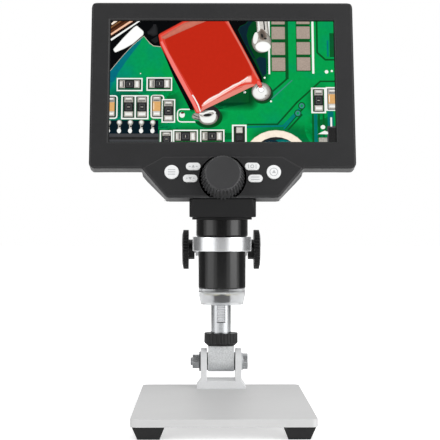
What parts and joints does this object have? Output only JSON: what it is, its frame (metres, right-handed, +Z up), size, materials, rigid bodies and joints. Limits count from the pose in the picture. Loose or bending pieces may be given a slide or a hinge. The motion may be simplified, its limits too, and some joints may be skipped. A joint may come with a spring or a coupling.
{
  "type": "lcd digital microscope",
  "caption": "Desk microscope with a large screen head, chin keys and focus knob, on a ring, a rack post and a hinged metal base plate.",
  "frame": {"origin": "middle of the footprint, on the table", "axes": "+X to the viewer's right, +Y away from the viewer, towards the post, +Z up"},
  "size_m": [0.181, 0.17, 0.2891],
  "materials": {
    "base_satin": "satin anodised, fine blast texture",
    "foot_rubber": "matte moulded",
    "zinc_screw": "zinc plated",
    "bracket_paint": "satin cast",
    "bolt_steel": "dark bright steel",
    "nut_steel": "dark bright steel",
    "dark_washer": "blackened",
    "bright_washer": "plain",
    "friction_black": "matte",
    "block_silver": "satin machined",
    "post_chrome": "satin chrome",
    "rack_steel": "machined teeth",
    "lock_black": "matte, knurled",
    "ring_chrome": "polished",
    "small_screw": "dark",
    "shaft_steel": "machined",
    "knob_black": "moulded, ribbed",
    "tube_gloss": "gloss black",
    "cap_frosted": "frosted, translucent",
    "led_board_white": "white solder mask",
    "led_yellow": "phosphor",
    "collar_black": "satin",
    "neck_black": "fine moulded texture",
    "housing_front": "fine moulded texture",
    "housing_rear": "fine moulded texture",
    "screen_glass": "gloss, lit picture",
    "lcd_metal": "pressed tray",
    "board_green": "solder mask",
    "battery_blue": "sleeve",
    "socket_steel": "plated",
    "focus_black": "moulded, ribbed",
    "holder_black": "matte",
    "barrel_black": "black anodised",
    "key_white": "satin"
  },
  "bodies": {
    "base": {"base_plate": "base_satin", "foot_front_left": "foot_rubber", "foot_front_right": "foot_rubber", "foot_back_left": "foot_rubber", "foot_back_right": "foot_rubber", "foot_screws": "zinc_screw", "hinge_bracket": "bracket_paint", "bracket_screws": "zinc_screw", "hinge_bolt": "bolt_steel", "hinge_nut": "nut_steel", "washer_left": "dark_washer", "washer_right": "bright_washer", "friction_washer_left": "friction_black", "friction_washer_right": "friction_black"},
    "pillar": {"hinge_block": "block_silver"},
    "post": {"rack_post": "post_chrome", "post_rack": "rack_steel"},
    "lock_ring": {"lock_ring": "lock_black"},
    "carriage": {"carriage": "ring_chrome", "tension_screw": "small_screw"},
    "pinion": {"pinion_shaft": "shaft_steel", "side_knob_left": "knob_black", "side_knob_right": "knob_black"},
    "head": {"outer_tube": "tube_gloss", "diffuser_cap": "cap_frosted", "led_board": "led_board_white", "leds": "led_yellow", "collar": "collar_black", "neck": "neck_black", "front_bezel": "housing_front", "rear_cover": "housing_rear", "display_glass": "screen_glass", "lcd_panel": "lcd_metal", "main_board": "board_green", "battery_pack": "battery_blue", "usb_socket": "socket_steel", "card_socket": "socket_steel", "key_board": "board_green", "cover_screws": "small_screw"},
    "focus": {"focus_knob": "focus_black", "focus_shaft": "shaft_steel"},
    "lens": {"lens_carriage": "holder_black", "lens_barrel": "barrel_black", "sensor_board": "board_green"},
    "round_key_left": {"round_key_left": "key_white"},
    "round_key_right": {"round_key_right": "key_white"},
    "upper_key_left": {"upper_key_left": "key_white"},
    "upper_key_right": {"upper_key_right": "key_white"},
    "lower_key_left": {"lower_key_left": "key_white"},
    "lower_key_right": {"lower_key_right": "key_white"}
  },
  "joints": [
    {"name": "pillar_tilt", "type": "hinge", "parent": "base", "child": "pillar", "pos_m": [0, 0.072, 0.0324], "axis": [1, 0, 0], "range_deg": [-30, 10]},
    {"name": "post_swivel", "type": "hinge", "parent": "pillar", "child": "post", "pos_m": [0, 0.072, 0.0444], "axis": [0, 0, 1], "range_deg": [-45, 45]},
    {"name": "lock_turn", "type": "hinge", "parent": "post", "child": "lock_ring", "pos_m": [0, 0.072, 0.0494], "axis": [0, 0, 1], "range_deg": [0, 180]},
    {"name": "height_slide", "type": "slide", "parent": "post", "child": "carriage", "axis": [0, 0, 1], "range_m": [-0.04524, 0.04901]},
    {"name": "pinion_turn", "type": "hinge", "parent": "carriage", "child": "pinion", "pos_m": [0, 0.06218, 0.1164], "axis": [1, 0, 0], "range_deg": [-781, 721]},
    {"name": "head_turn", "type": "hinge", "parent": "carriage", "child": "head", "pos_m": [0, 0.014, 0.1214], "axis": [0, 0, 1], "range_deg": [-45, 45]},
    {"name": "focus_turn", "type": "hinge", "parent": "head", "child": "focus", "pos_m": [0, -0.02305, 0.1664], "axis": [0, -0.9781, 0.2079], "range_deg": [0, 231.42]},
    {"name": "lens_slide", "type": "slide", "parent": "head", "child": "lens", "axis": [0, 0, 1], "range_m": [0, 0.01455]},
    {"name": "round_key_left_press", "type": "slide", "parent": "head", "child": "round_key_left", "axis": [0, 0.9781, -0.2079], "range_m": [0, 0.0005], "stiffness_N_per_m": 300},
    {"name": "round_key_right_press", "type": "slide", "parent": "head", "child": "round_key_right", "axis": [0, 0.9781, -0.2079], "range_m": [0, 0.0005], "stiffness_N_per_m": 300},
    {"name": "upper_key_left_press", "type": "slide", "parent": "head", "child": "upper_key_left", "axis": [0, 0.9781, -0.2079], "range_m": [0, 0.0005], "stiffness_N_per_m": 300},
    {"name": "upper_key_right_press", "type": "slide", "parent": "head", "child": "upper_key_right", "axis": [0, 0.9781, -0.2079], "range_m": [0, 0.0005], "stiffness_N_per_m": 300},
    {"name": "lower_key_left_press", "type": "slide", "parent": "head", "child": "lower_key_left", "axis": [0, 0.9781, -0.2079], "range_m": [0, 0.0005], "stiffness_N_per_m": 300},
    {"name": "lower_key_right_press", "type": "slide", "parent": "head", "child": "lower_key_right", "axis": [0, 0.9781, -0.2079], "range_m": [0, 0.0005], "stiffness_N_per_m": 300}
  ],
  "couplings": [
    {"joint": "pinion_turn", "follows": "height_slide", "rad_per_m": -277.78},
    {"joint": "lens_slide", "follows": "focus_turn", "m_per_rad": 0.0035782}
  ]
}
